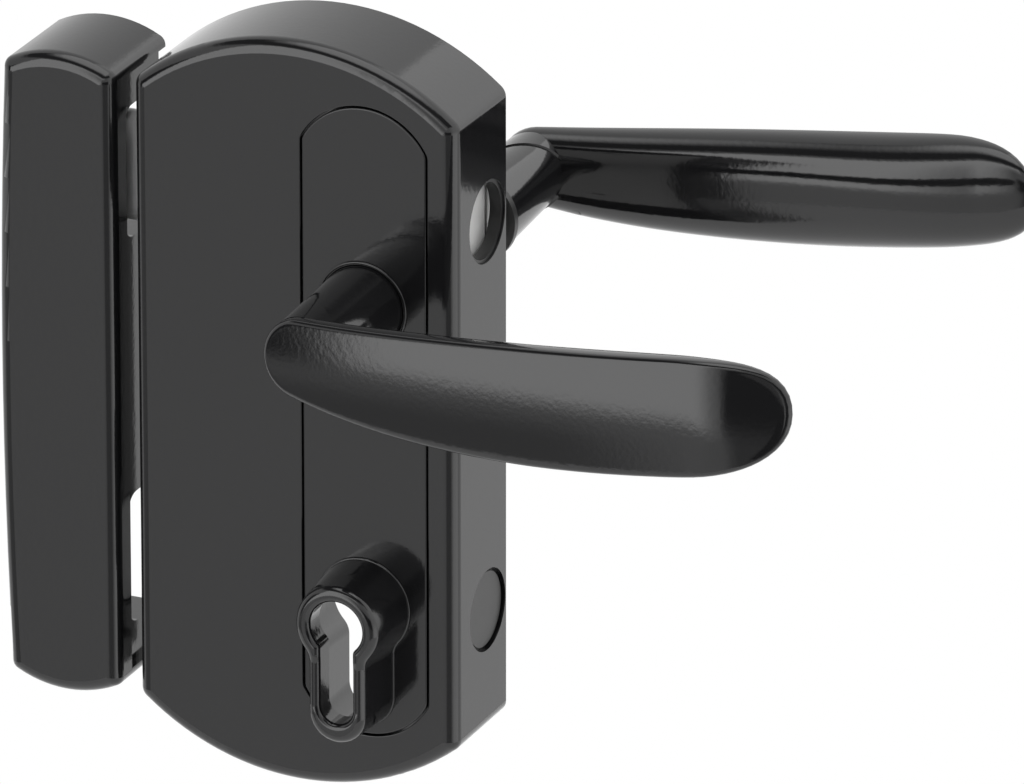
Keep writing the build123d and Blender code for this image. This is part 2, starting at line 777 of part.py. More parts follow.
def helix_point(turn, start_x, pitch):
    """A point on the spring's centre line after so many turns, with the direction it runs in there."""
    angle = 2 * math.pi * turn
    y = bolt_y + spring_mean_radius * math.cos(angle)
    z = spring_z + spring_mean_radius * math.sin(angle)
    round_y = -2 * math.pi * spring_mean_radius * math.sin(angle)
    round_z = 2 * math.pi * spring_mean_radius * math.cos(angle)
    return Vector(start_x + pitch * turn, y, z), Vector(pitch, round_y, round_z).normalized()


# Latch spring between the bolt's tail and the bent tab
spring_start_x = latch_tail_x + spring_wire_radius
spring_pitch = (end_tab_left_x - spring_wire_radius - spring_start_x) / spring_turns
with BuildPart() as latch_spring:
    with BuildLine() as coil:
        for quarter in range(4 * spring_turns):
            first, first_way = helix_point(quarter / 4, spring_start_x, spring_pitch)
            last, last_way = helix_point((quarter + 1) / 4, spring_start_x, spring_pitch)
            chord = last - first
            ways = first_way + last_way
            bend = 2 * (1 - first_way.dot(last_way))
            reach = (math.sqrt(chord.dot(ways) ** 2 + 2 * bend * chord.dot(chord)) - chord.dot(ways)) / bend
            joint = (first + first_way * reach + last - last_way * reach) * 0.5
            joint_way = (last - last_way * reach) - (first + first_way * reach)
            TangentArc(first, joint, tangent=first_way)
            TangentArc(joint, last, tangent=joint_way)
    with BuildSketch(Plane(origin=coil.line @ 0, z_dir=coil.line % 0)):
        Circle(spring_wire_radius)
    sweep()
latch_spring.part.label = "latch_spring"
export_step(latch_spring.part, "parts/latch_spring.step")
turn_points = [helix_point(step / 48, spring_start_x, spring_pitch)[0] for step in range(48 * spring_turns + 1)]
least = min((a - b).length for i, a in enumerate(turn_points) for b in turn_points[i + 24:])
print("latch spring: least gap to itself", round(least - 2 * spring_wire_radius, 2), "mm")

# Deadbolt: drawn back at rest, with a slot in its tail for the carriage
with BuildPart() as deadbolt:
    with BuildSketch(sideways(deadbolt_tip_x)):
        bolt_section(deadbolt_z, 0)
    extrude(amount=deadbolt_tail_x - deadbolt_tip_x)
    fillet(deadbolt.faces().sort_by(Axis.X)[0].edges(), deadbolt_tip_round)
    with BuildSketch(Plane.XY.offset(carriage_leg_low_z - carriage_slot_gap)):
        with BuildLine():
            Polyline(
                (carriage_leg_left_x - carriage_slot_gap, bolt_y - carriage_thickness / 2 - carriage_slot_gap),
                (deadbolt_tail_x + cut, bolt_y - carriage_thickness / 2 - carriage_slot_gap),
                (deadbolt_tail_x + cut, bolt_y + carriage_thickness / 2 + carriage_slot_gap),
                (carriage_leg_left_x - carriage_slot_gap, bolt_y + carriage_thickness / 2 + carriage_slot_gap),
                close=True,
            )
        make_face()
    extrude(amount=bolt_height, mode=Mode.SUBTRACT)
    with BuildSketch(facing(0)):
        with Locations(((carriage_leg_left_x + carriage_leg_right_x) / 2, carriage_pin_z)):
            Circle(carriage_pin_radius + thread_gap)
    extrude(amount=lock_depth, mode=Mode.SUBTRACT)
deadbolt.part.label = "deadbolt"
export_step(deadbolt.part, "parts/deadbolt.step")

# Carriage: the cam of the profile cylinder moves it by its notch
slot_z = (carriage_top_z + carriage_low_z + cam_notch_depth) / 2
with BuildPart() as carriage:
    with BuildSketch(facing(bolt_y + carriage_thickness / 2)):
        with BuildLine():
            Polyline(
                (carriage_leg_left_x, carriage_top_z),
                (carriage_right_x, carriage_top_z),
                (carriage_right_x, carriage_low_z),
                (cam_notch_x + cam_notch_half, carriage_low_z),
                (cam_notch_x + cam_notch_half, carriage_low_z + cam_notch_depth),
                (cam_notch_x - cam_notch_half, carriage_low_z + cam_notch_depth),
                (cam_notch_x - cam_notch_half, carriage_low_z),
                (carriage_leg_right_x, carriage_low_z),
                (carriage_leg_right_x, carriage_leg_low_z),
                (carriage_leg_left_x, carriage_leg_low_z),
                close=True,
            )
        shape = make_face()
        fillet(shape.vertices(), carriage_corner)
        with Locations((guide_x + bolt_throw / 2, slot_z)):
            SlotCenterToCenter(bolt_throw, 2 * (guide_radius + guide_gap), mode=Mode.SUBTRACT)
        with Locations(((carriage_leg_left_x + carriage_leg_right_x) / 2, carriage_pin_z)):
            Circle(carriage_pin_radius + thread_gap, mode=Mode.SUBTRACT)
    extrude(amount=carriage_thickness)
carriage.part.label = "carriage"
export_step(carriage.part, "parts/carriage.step")

# Pin that ties the carriage to the deadbolt
with BuildPart() as carriage_pin:
    with BuildSketch(facing(bolt_y + bolt_thickness / 2)):
        with Locations(((carriage_leg_left_x + carriage_leg_right_x) / 2, carriage_pin_z)):
            Circle(carriage_pin_radius)
    extrude(amount=bolt_thickness)
carriage_pin.part.label = "carriage_pin"
export_step(carriage_pin.part, "parts/carriage_pin.step")

# Fixed guide pin in the carriage's slot
with BuildPart() as carriage_guide:
    with BuildSketch(facing(back_plate_front_y)):
        with Locations((guide_x, slot_z)):
            Circle(guide_radius)
    extrude(amount=plate_spacing)
carriage_guide.part.label = "carriage_guide"
export_step(carriage_guide.part, "parts/carriage_guide.step")


def bolt_bush(z):
    """A plastic bush for a bolt in the left side of the case, with its flange inside."""
    with BuildPart() as bush:
        with BuildSketch(sideways(left_x + bolt_bush_set_back)):
            bolt_section(z, running_gap + bolt_bush_wall - side_fit_gap)
        extrude(amount=wall - bolt_bush_set_back)
        with BuildSketch(sideways(left_x + wall)):
            bolt_section(z, running_gap + bolt_bush_wall + bolt_bush_flange_step)
        extrude(amount=plate_left_gap - side_fit_gap)
        with BuildSketch(sideways(left_x)):
            bolt_section(z, running_gap)
        extrude(amount=2 * wall, mode=Mode.SUBTRACT)
    return bush


# Bushes of the two bolts
latch_bush = bolt_bush(latch_z)
latch_bush.part.label = "latch_bush"
export_step(latch_bush.part, "parts/latch_bush.step")
deadbolt_bush = bolt_bush(deadbolt_z)
deadbolt_bush.part.label = "deadbolt_bush"
export_step(deadbolt_bush.part, "parts/deadbolt_bush.step")

# Ring in the upper side hole
with BuildPart() as side_ring:
    with BuildSketch(sideways(right_x - side_ring_set_back)):
        with Locations((bolt_y, latch_z)):
            Circle(side_hole_radius - side_fit_gap)
            Circle(side_hole_radius - side_ring_wall, mode=Mode.SUBTRACT)
    extrude(amount=-side_ring_length)
side_ring.part.label = "side_ring"
export_step(side_ring.part, "parts/side_ring.step")

# Plug in the lower side hole, with a groove round its face
with BuildPart() as hole_plug:
    with BuildSketch(sideways(right_x - plug_set_back)):
        with Locations((bolt_y, deadbolt_z)):
            Circle(plug_face_radius)
    extrude(amount=-plug_length)
    with BuildSketch(sideways(right_x - plug_set_back - plug_groove_depth)):
        with Locations((bolt_y, deadbolt_z)):
            Circle(side_hole_radius - side_fit_gap)
    extrude(amount=plug_groove_depth - plug_length)
hole_plug.part.label = "hole_plug"
export_step(hole_plug.part, "parts/hole_plug.step")


def keep_outline():
    """The keep's outline: straight beside the lock, bowed on its far side, arched at both ends."""
    middle = (keep_left_x + keep_right_x) / 2
    with BuildLine() as outline:
        ThreePointArc((keep_left_x, keep_low_z), (keep_left_x - keep_bow, lock_middle_z), (keep_left_x, keep_high_z))
        ThreePointArc((keep_left_x, keep_high_z), (middle, keep_high_z + keep_arch_rise), (keep_right_x, keep_high_z))
        Line((keep_right_x, keep_high_z), (keep_right_x, keep_low_z))
        ThreePointArc((keep_right_x, keep_low_z), (middle, keep_low_z - keep_arch_rise), (keep_left_x, keep_low_z))
    shape = make_face(outline.edges())
    fillet(shape.vertices(), keep_corner)


# Keep: a hollow casting, open behind, with two openings for the bolts in its recessed side
keep_bolt_spots = [(keep_middle_x, lock_middle_z + keep_bolt_spacing / 2),
                   (keep_middle_x, lock_middle_z - keep_bolt_spacing / 2)]
recess_depth = lock_depth - keep_recess_from_front
recess_height = keep_side_height - 2 * keep_recess_rim
rib_width = keep_inner_right_x - keep_left_x - keep_wall + cut
with BuildPart() as keep_cover:
    with BuildSketch(facing(0)):
        keep_outline()
    extrude(amount=lock_depth)
    fillet(keep_cover.faces().sort_by(Axis.Y)[0].edges(), keep_front_round)
    with BuildSketch(facing(0)):
        keep_outline()
        offset(amount=-keep_wall)
        with Locations((keep_right_x, lock_middle_z)):
            Rectangle(2 * keep_side_wall, 2 * keep_side_height, mode=Mode.SUBTRACT)
    extrude(amount=lock_depth - keep_wall, mode=Mode.SUBTRACT)
    with BuildSketch(facing(cut)):
        with Locations((keep_right_x, lock_middle_z)):
            Rectangle(2 * keep_recess_depth, recess_height)
    extrude(amount=recess_depth + cut, mode=Mode.SUBTRACT)
    with BuildSketch(facing(-keep_wall)):
        for z in (latch_z, deadbolt_z):
            for level in (-1, 1):
                with Locations((keep_inner_right_x - rib_width / 2 + cut / 2,
                                z + level * (keep_opening_height + keep_rib_thickness) / 2)):
                    Rectangle(rib_width + cut, keep_rib_thickness)
        with Locations(*keep_bolt_spots):
            Circle(keep_boss_radius)
    extrude(amount=lock_depth - 2 * keep_wall + keep_rib_root)
    with BuildSketch(sideways(keep_right_x + cut)):
        with Locations((bolt_y, latch_z), (bolt_y, deadbolt_z)):
            RectangleRounded(2 * keep_opening_half, keep_opening_height, keep_opening_corner)
    extrude(amount=-(keep_side_wall + 2 * cut), mode=Mode.SUBTRACT)
    with BuildSketch(facing(0)):
        with Locations(*keep_bolt_spots):
            Circle(keep_insert_radius)
    extrude(amount=keep_insert_depth + keep_insert_length, mode=Mode.SUBTRACT)
keep_cover.part.label = "keep_cover"
export_step(keep_cover.part, "parts/keep_cover.step")

# Threaded inserts for the keep's bolts
with BuildPart() as keep_inserts:
    with BuildSketch(facing(-keep_insert_depth)):
        with Locations(*keep_bolt_spots):
            Circle(keep_insert_radius)
            Circle(fixing_thread_radius, mode=Mode.SUBTRACT)
    extrude(amount=keep_insert_length)
keep_inserts.part.label = "keep_inserts"
export_step(keep_inserts.part, "parts/keep_inserts.step")

# Steel bars inside the keep that take the bolts' load in front of the openings
strike_back_y = bolt_y - keep_opening_half - side_fit_gap
with BuildPart() as strike_bars:
    with BuildSketch(facing(strike_back_y)):
        for z in (latch_z, deadbolt_z):
            with Locations((keep_inner_right_x - strike_bar_thickness / 2, z)):
                Rectangle(strike_bar_thickness, keep_opening_height)
    extrude(amount=strike_bar_width)
strike_bars.part.label = "strike_bars"
export_step(strike_bars.part, "parts/strike_bars.step")
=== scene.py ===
# %% [markdown]
# # A surface-mounted gate lock
# The imported model is loaded first and stays as it is. This file gives it a camera, its finishes, two cast
# levers, two beads, a spring of its own and a studio. Everything is in metres, X to the right, Y into
# the gate and Z up. Sizes are written in millimetres and multiplied by MM.

import json
import math

import bmesh
import bpy
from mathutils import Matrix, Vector
from mathutils.bvhtree import BVHTree


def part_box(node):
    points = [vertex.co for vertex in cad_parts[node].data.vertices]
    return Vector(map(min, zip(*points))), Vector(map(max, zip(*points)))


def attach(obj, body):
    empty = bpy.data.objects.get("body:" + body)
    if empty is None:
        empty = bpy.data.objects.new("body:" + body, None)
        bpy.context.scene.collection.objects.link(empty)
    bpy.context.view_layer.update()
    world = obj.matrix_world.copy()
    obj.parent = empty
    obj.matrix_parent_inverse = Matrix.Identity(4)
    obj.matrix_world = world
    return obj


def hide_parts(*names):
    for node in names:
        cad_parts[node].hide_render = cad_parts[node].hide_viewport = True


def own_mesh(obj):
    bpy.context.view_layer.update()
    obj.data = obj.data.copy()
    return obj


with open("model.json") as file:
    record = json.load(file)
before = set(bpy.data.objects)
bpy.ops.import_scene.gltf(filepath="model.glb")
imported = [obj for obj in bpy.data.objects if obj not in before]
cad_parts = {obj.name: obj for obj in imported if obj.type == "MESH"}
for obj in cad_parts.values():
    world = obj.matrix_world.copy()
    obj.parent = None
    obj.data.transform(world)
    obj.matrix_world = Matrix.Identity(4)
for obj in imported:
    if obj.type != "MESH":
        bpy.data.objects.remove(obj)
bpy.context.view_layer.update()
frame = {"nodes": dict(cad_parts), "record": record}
MM = 0.001
print("nodes:", len(frame["nodes"]))

# %% [markdown]
# ## The camera
# The lock is seen from the right and from above, and a long lens from far away keeps its upright edges
# nearly parallel. The camera could be placed by hand, but a target on the lock, two angles and a distance
# are easier to read and to change. The sensor's width and a focal length in pixels give the lens.

# %% Camera
picture_width = 1024
focal_pixels = 14000.0
pixels_per_mm = 3.527
sensor_width = 36.0
farthest_seen = 50000.0
turn_right = math.radians(24.105)
look_down = math.radians(22.051)
target = Vector((46.614, -36.0, -18.326)) * MM
towards_camera = Vector((
    math.sin(turn_right) * math.cos(look_down),
    -math.cos(turn_right) * math.cos(look_down),
    math.sin(look_down),
))
camera_data = bpy.data.cameras.new("camera")
camera_data.sensor_width = sensor_width
camera_data.lens = sensor_width * focal_pixels / picture_width
camera_data.clip_end = farthest_seen * MM
camera = bpy.data.objects.new("camera", camera_data)
bpy.context.scene.collection.objects.link(camera)
camera.location = target + towards_camera * (focal_pixels / pixels_per_mm) * MM
camera.rotation_euler = (-towards_camera).to_track_quat("-Z", "Y").to_euler()
bpy.context.scene.camera = camera
print("camera is", round((camera.location - target).length, 3), "m away")

# %% [markdown]
# ## Small helpers for materials
# Colours are chosen as sRGB hex values, as in any paint program, and shaders work in linear light, so
# one function turns them over. Another adds one node with its settings and links, which keeps each
# material below short enough to read at a glance.

# %% Colour from a hex value
def linear(hex_colour):
    """A colour from its sRGB hex value, as a shader takes it."""
    parts = [int(hex_colour[i:i + 2], 16) / 255 for i in (1, 3, 5)]
    return [p / 12.92 if p <= 0.04045 else ((p + 0.055) / 1.055) ** 2.4 for p in parts] + [1.0]


print("half-way grey in linear light:", round(linear("#808080")[0], 3))


# %% Add a node, start a material
def add_node(tree, kind, settings=None, links=None):
    """Adds a node. Settings name its inputs or properties, and links the sockets that feed its inputs."""
    node = tree.nodes.new(kind)
    for name, value in (settings or {}).items():
        if isinstance(name, int) or name in node.inputs:
            node.inputs[name].default_value = value
        else:
            setattr(node, name, value)
    for name, socket in (links or {}).items():
        tree.links.new(socket, node.inputs[name])
    return node


def new_material(name, shader_settings):
    """A material with one shader, and the Object coordinates that its patterns read."""
    material = bpy.data.materials.new(name)
    material.use_nodes = True
    tree = material.node_tree
    tree.nodes.clear()
    shader = add_node(tree, "ShaderNodeBsdfPrincipled", shader_settings)
    add_node(tree, "ShaderNodeOutputMaterial", links={"Surface": shader.outputs["BSDF"]})
    place = add_node(tree, "ShaderNodeTexCoord")
    return material, tree, shader, place.outputs["Object"]


def waves_per_metre(size_mm):
    """The scale of a noise whose lumps are about this far apart."""
    return 1 / (size_mm * MM)


print("a grain of 1 mm has scale", waves_per_metre(1.0))

# %% [markdown]
# ## Black gloss powder coat
# Case, panel, collar, levers and keep are castings with a baked polyester powder coat. The powder flows
# out to a gloss skin that keeps a fine waviness, called orange peel, which frays the edges of what it
# reflects. A roughness alone would blur those edges evenly, so a dark base with a clear reflection gets
# a bump of soft lumps 1.5 mm apart, with finer ones of 0.4 mm.

# %% Black gloss powder coat
peel_lump_size = 1.5
peel_grain_size = 0.4
peel_grain_share = 0.25
peel_height = 0.016
powder_coat, tree, shader, place = new_material("gloss_black_powder_coat", {
    "Base Color": linear("#131314"),
    "Roughness": 0.09,
    "IOR": 1.52,
})
peel_lumps = add_node(tree, "ShaderNodeTexNoise", {
    "Scale": waves_per_metre(peel_lump_size),
    "Detail": 1.0,
}, {"Vector": place})
peel_grain = add_node(tree, "ShaderNodeTexNoise", {
    "Scale": waves_per_metre(peel_grain_size),
    "Detail": 2.0,
}, {"Vector": place})
peel = add_node(tree, "ShaderNodeMath", {"operation": "MULTIPLY_ADD", 1: peel_grain_share}, {
    0: peel_grain.outputs["Fac"],
    2: peel_lumps.outputs["Fac"],
})
peel_bump = add_node(tree, "ShaderNodeBump", {"Strength": 1.0, "Distance": peel_height * MM}, {
    "Height": peel.outputs["Value"],
})
tree.links.new(peel_bump.outputs["Normal"], shader.inputs["Normal"])
print("made", powder_coat.name)

# %% [markdown]
# ## Stainless steel of the bolts
# The latch bolt, the deadbolt and the keep's strike bars are stainless steel, ground and then brushed.
# Brushing leaves fine scratches that run with the bolts and spread what the steel reflects into a soft
# sheen. One roughness could do that, but the sheen would look cast, so a noise squeezed across X into
# streaks moves it a little. Real scratches are some hundredths of a millimetre wide and too fine to
# show, so the streaks are drawn 0.4 mm wide.

# %% Stainless steel
streak_length = 25.0
streak_width = 0.4
streak_depth = 0.004
stainless, tree, shader, place = new_material("brushed_stainless", {
    "Base Color": linear("#d8d8d8"),
    "Metallic": 1.0,
    "Roughness": 0.6,
})
along_bolt = add_node(tree, "ShaderNodeMapping", {
    "Scale": (waves_per_metre(streak_length), waves_per_metre(streak_width), waves_per_metre(streak_width)),
}, {"Vector": place})
streaks = add_node(tree, "ShaderNodeTexNoise", {"Scale": 1.0, "Detail": 3.0}, {
    "Vector": along_bolt.outputs["Vector"],
})
rough = add_node(tree, "ShaderNodeMapRange", {"To Min": 0.52, "To Max": 0.68}, {
    "Value": streaks.outputs["Fac"],
})
tree.links.new(rough.outputs["Result"], shader.inputs["Roughness"])
streak_bump = add_node(tree, "ShaderNodeBump", {"Strength": 0.6, "Distance": streak_depth * MM}, {
    "Height": streaks.outputs["Fac"],
})
tree.links.new(streak_bump.outputs["Normal"], shader.inputs["Normal"])
print("made", stainless.name)

# %% [markdown]
# ## Zinc-plated steel of the mechanism
# Plates, posts, screws, spindle, carriage and follower are steel with a bright zinc plating, which is
# never quite even. Spots of colour would look like rust, so a noise with blotches about 9 mm apart moves
# only the roughness, and the plating looks clouded.

# %% Zinc-plated steel
blotch_size = 9.0
zinc, tree, shader, place = new_material("zinc_plated_steel", {
    "Base Color": linear("#cbcbca"),
    "Metallic": 1.0,
    "Roughness": 0.5,
})
blotches = add_node(tree, "ShaderNodeTexNoise", {
    "Scale": waves_per_metre(blotch_size),
    "Detail": 4.0,
}, {"Vector": place})
rough = add_node(tree, "ShaderNodeMapRange", {"To Min": 0.4, "To Max": 0.62}, {
    "Value": blotches.outputs["Fac"],
})
tree.links.new(rough.outputs["Result"], shader.inputs["Roughness"])
print("made", zinc.name)

# %% [markdown]
# ## Spring steel and black plastic
# The spring is drawn wire, smooth and darker than the plating, so it needs no pattern. Bushes,
# ring and plug are moulded nylon. The mould's spark-eroded wall leaves a fine grain that dulls the
# gloss, and a bump with grains 0.25 mm apart gives it.

# %% Spring steel
spring_steel = new_material("drawn_spring_steel", {
    "Base Color": linear("#8f8f90"),
    "Metallic": 1.0,
    "Roughness": 0.22,
})[0]
print("made", spring_steel.name)

# %% Black nylon
mould_grain_size = 0.25
mould_grain_height = 0.01
nylon, tree, shader, place = new_material("moulded_black_nylon", {
    "Base Color": linear("#161616"),
    "Roughness": 0.42,
    "IOR": 1.53,
})
mould_grain = add_node(tree, "ShaderNodeTexNoise", {
    "Scale": waves_per_metre(mould_grain_size),
    "Detail": 2.0,
}, {"Vector": place})
grain_bump = add_node(tree, "ShaderNodeBump", {"Strength": 1.0, "Distance": mould_grain_height * MM}, {
    "Height": mould_grain.outputs["Fac"],
})
tree.links.new(grain_bump.outputs["Normal"], shader.inputs["Normal"])
print("made", nylon.name)

# %% [markdown]
# ## Every node gets its finish
# The record names a slot for each node, and the slot says which finish it takes. Finishes could be set
# node by node, but one table of slots keeps alike pieces alike.

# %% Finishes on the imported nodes
finish_of_slot = {
    "black_paint": powder_coat,
    "black_plastic": nylon,
    "stainless": stainless,
    "zinc_plated": zinc,
    "spring_steel": spring_steel,
}
slot_of_node = {s["node"]: s["material_slot"] for s in frame["record"]["subparts"]}
for name, node in frame["nodes"].items():
    for slot in node.material_slots:
        slot.material = finish_of_slot[slot_of_node[name]]
print("finished nodes:", len(slot_of_node))

# %% [markdown]
# ## Copies and new pieces
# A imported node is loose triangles, so it is copied and its doubles are merged before anything is cut
# from it. Each new piece is an object at the origin with its place in its mesh, as the nodes have.

# %% Copy a node, add a piece
merge_distance = 0.001 * MM


def merged_copy(node_name):
    """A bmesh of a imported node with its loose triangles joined."""
    copy = bmesh.new()
    copy.from_mesh(frame["nodes"][node_name].data)
    bmesh.ops.remove_doubles(copy, verts=copy.verts, dist=merge_distance)
    return copy


def new_piece(name, data, finish):
    """An object at the origin, in the scene, with its finish."""
    piece = bpy.data.objects.new(name, data)
    bpy.context.scene.collection.objects.link(piece)
    data.materials.append(finish)
    return piece


print("doubles nearer than", merge_distance, "m are merged")

# %% [markdown]
# ## Levers
# A lever is cast and hand-finished: its face bows and leans back a little, its edge is just broken, and
# its inner side is as round as the palm wants it. A loft of sections would do, but the round ends pinch
# there. So the lever is made of spokes: they stand out from a spine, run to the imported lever's outline,
# which a ray measures, and each carries the same profile from the face round to the inner side.

# %% Where the levers lie
lever_lean = math.radians(5.5)
lever_rise = math.radians(5.7)
spine_root = Vector((0.0, 0.0))
spine_tip = Vector((136.0, -4.6))


def lever_axes(side):
    """Along a lever, up it and out of its face. Side is -1 in front of the gate and 1 behind it."""
    along = Vector((
        math.cos(lever_lean) * math.cos(lever_rise),
        side * math.sin(lever_lean),
        math.cos(lever_lean) * math.sin(lever_rise),
    ))
    up = Vector((-math.sin(lever_rise), 0, math.cos(lever_rise)))
    return along, up, along.cross(up) * -side


print("spine:", round((spine_tip - spine_root).length, 1), "mm long")

# %% Spokes of a lever
side_spokes = 44
end_spokes = 20


def spokes():
    """Each spoke's foot on the spine and its direction, once round from the root along the top."""
    for k in range(side_spokes):
        yield spine_root.lerp(spine_tip, k / side_spokes), Vector((0, 1))
    for k in range(end_spokes):
        turn = math.pi * (0.5 - k / end_spokes)
        yield spine_tip, Vector((math.cos(turn), math.sin(turn)))
    for k in range(side_spokes):
        yield spine_tip.lerp(spine_root, k / side_spokes), Vector((0, -1))
    for k in range(end_spokes):
        turn = math.pi * (-0.5 - k / end_spokes)
        yield spine_root, Vector((math.cos(turn), math.sin(turn)))


print("spokes:", len(list(spokes())))

# %% [markdown]
# ## Form of a lever
# The face bows along its length, leans back, is crowned across and turns away at the tip. The inner side
# has a belly where the hand closes. Each is a short formula in millimetres, so the form can be changed
# by one number, where sculpting would have to start again.

# %% Form of the face
face_bow_top = 1.2
face_bow_drop = 3.2
face_bow_middle = 70.0
face_lean_back = math.tan(math.radians(4.2))
face_crown = 150.0
tip_turn_start = 127.0
tip_turn_radius = 38.0


def face_height(along, up):
    """How far the face stands out at a place on the lever, in mm."""
    middle = spine_tip.y * along / spine_tip.x
    bow = face_bow_top - face_bow_drop * ((along - face_bow_middle) / face_bow_middle) ** 2
    turn = max(0.0, along - tip_turn_start) ** 2 / (2 * tip_turn_radius)
    return bow - face_lean_back * (up - middle) - (up - middle) ** 2 / (2 * face_crown) - turn


print("face at the tip:", round(face_height(spine_tip.x, spine_tip.y), 2), "mm")

# %% Form of the inner side
root_depth = 12.5
belly_depth = 3.8
belly_at = 118.0
belly_length = 38.0


def inner_depth(along):
    """How deep the lever is along its spine, in mm."""
    return root_depth + belly_depth * math.exp(-((along - belly_at) / belly_length) ** 2)


print("deepest:", round(inner_depth(belly_at), 1), "mm")

# %% Profile along one spoke
edge_round = 1.7
inner_fullness = 2.5
face_steps = 10
round_steps = 6
inner_steps = 18
profile_steps = face_steps + round_steps + inner_steps


def profile_point(foot, way, reach, step):
    """A point of the profile: along the lever, up it and out of it, in mm."""
    rim = foot + way * (reach - edge_round)
    rim_height = face_height(rim.x, rim.y)
    if step <= face_steps:
        spot = foot + way * (reach - edge_round) * step / face_steps
        return spot.x, spot.y, face_height(spot.x, spot.y)
    if step <= face_steps + round_steps:
        turn = math.pi / 2 * (step - face_steps) / round_steps
        spot = rim + way * edge_round * math.sin(turn)
        return spot.x, spot.y, rim_height - edge_round * (1 - math.cos(turn))
    turn = math.pi / 2 * (step - face_steps - round_steps) / inner_steps
    spot = foot + way * reach * max(0.0, math.cos(turn)) ** (2 / inner_fullness)
    start = rim_height - edge_round
    return spot.x, spot.y, start - (inner_depth(foot.x) + start) * math.sin(turn) ** (2 / inner_fullness)


print("points on a spoke:", profile_steps + 1)

# %% [markdown]
# ## Skin of a lever
# A flat grid has a row for each spoke and a column for each step of the profile. It is bent so that
# every row lies on its spoke. The first spoke comes again at the end, and merging the doubles closes the
# skin along it and at the spine.

# %% Measure the outline and bend the grid
measuring_depth = 3.0


def profile_rows(packed, origin, along, up, out):
    """The profile's points on each spoke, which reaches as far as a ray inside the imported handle."""
    tree = BVHTree.FromBMesh(packed)
    rows = []
    for foot, way in spokes():
        start = origin + (along * foot.x + up * foot.y - out * measuring_depth) * MM
        reach = tree.ray_cast(start, along * way.x + up * way.y)[3] / MM
        rows.append([profile_point(foot, way, reach, step) for step in range(profile_steps + 1)])
    return rows + rows[:1]


def lever_skin(rows, origin, along, up, out):
    """A bmesh of a lever, made from a grid with a row for each spoke."""
    skin = bmesh.new()
    last_row = len(rows) - 1
    bmesh.ops.create_grid(skin, x_segments=last_row, y_segments=profile_steps, size=1)
    for vert in skin.verts:
        row = round((vert.co.x + 1) / 2 * last_row)
        step = round((vert.co.y + 1) / 2 * profile_steps)
        a, b, c = rows[row][step]
        vert.co = origin + (along * a + up * b + out * c) * MM
    bmesh.ops.remove_doubles(skin, verts=skin.verts, dist=merge_distance)
    bmesh.ops.recalc_face_normals(skin, faces=skin.faces)
    return skin


print("rays start", measuring_depth, "mm behind the face")

# %% [markdown]
# ## Neck of a handle
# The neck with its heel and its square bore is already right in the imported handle. It could be drawn
# again, but a copy cut by two planes keeps the bore where the spindle is.

# %% Cut a copy down to its neck
neck_kept_below = 8.0
neck_kept_within = 12.5
sharp_angle = math.radians(28)


def cut_to_neck(packed, origin, along, out):
    """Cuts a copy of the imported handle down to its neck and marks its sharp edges."""
    for plane_co, plane_no in (
        (origin - out * neck_kept_below * MM, out),
        (origin + along * neck_kept_within * MM, along),
    ):
        everything = packed.verts[:] + packed.edges[:] + packed.faces[:]
        bmesh.ops.bisect_plane(
            packed, geom=everything, plane_co=plane_co, plane_no=plane_no, clear_outer=True
        )
    for edge in packed.edges:
        edge.smooth = len(edge.link_faces) == 2 and edge.calc_face_angle() < sharp_angle


print("neck kept", neck_kept_below, "mm below the face")

# %% [markdown]
# ## Both handles
# Each handle is one casting, so skin and neck become one piece. The rear handle mirrors the front one,
# and its own axes see to that, so nothing has to be flipped afterwards.

# %% Make the handles
front_face_y = -83.5
rear_face_y = 91.8


def make_handle(node_name, side, face_y):
    """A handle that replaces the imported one, with the same neck, bore and outline."""
    along, up, out = lever_axes(side)
    origin = Vector((0, face_y * MM, 0))
    packed = merged_copy(node_name)
    rows = profile_rows(packed, origin, along, up, out)
    casting = lever_skin(rows, origin, along, up, out)
    cut_to_neck(packed, origin, along, out)
    mesh = bpy.data.meshes.new(node_name + "_cast")
    packed.to_mesh(mesh)
    casting.from_mesh(mesh)
    for face in casting.faces:
        face.smooth = True
    casting.to_mesh(mesh)
    casting.free()
    packed.free()
    piece = new_piece(node_name + "_cast", mesh, powder_coat)
    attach(piece, "handle")
    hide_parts(node_name)
    print(piece.name, "faces:", len(mesh.polygons))


make_handle("handle_front", -1, front_face_y)
make_handle("handle_rear", 1, rear_face_y)

# %% [markdown]
# ## Beads round the neck and the collar
# Where the neck's bush and the collar leave the panel, a thin rounded bead closes the joint and catches
# the light. A ring would do for the neck but not for the keyhole-shaped collar. So each bead follows the
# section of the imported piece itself, cut from a copy just in front of the panel, as a curve with a round
# bevel. A cut right beside a rim leaves doubled points, and the outline skips them, because a doubled
# point at its seam would give the bead a ring of faces with no area.

# %% Follow a section
def closed_outlines(edges):
    """The outlines that these edges form, each as its points in order and none of them twice."""
    left = list(edges)
    while left:
        edge = left.pop()
        outline = [edge.verts[0], edge.verts[1]]
        onward = True
        while onward:
            onward = [e for e in outline[-1].link_edges if e in left]
            if onward:
                left.remove(onward[0])
                outline.append(onward[0].other_vert(outline[-1]))
        steps = zip(outline, outline[1:])
        yield [here.co.copy() for here, after in steps if (after.co - here.co).length > merge_distance]


def height(points):
    """How tall an outline is."""
    return max(p.z for p in points) - min(p.z for p in points)


case_front_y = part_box("housing")[0][1] / MM
print("case front at y", round(case_front_y, 1), "mm")

# %% Beads
bead_radius = 0.42
bead_stand = 0.3
bead_smoothness = 4


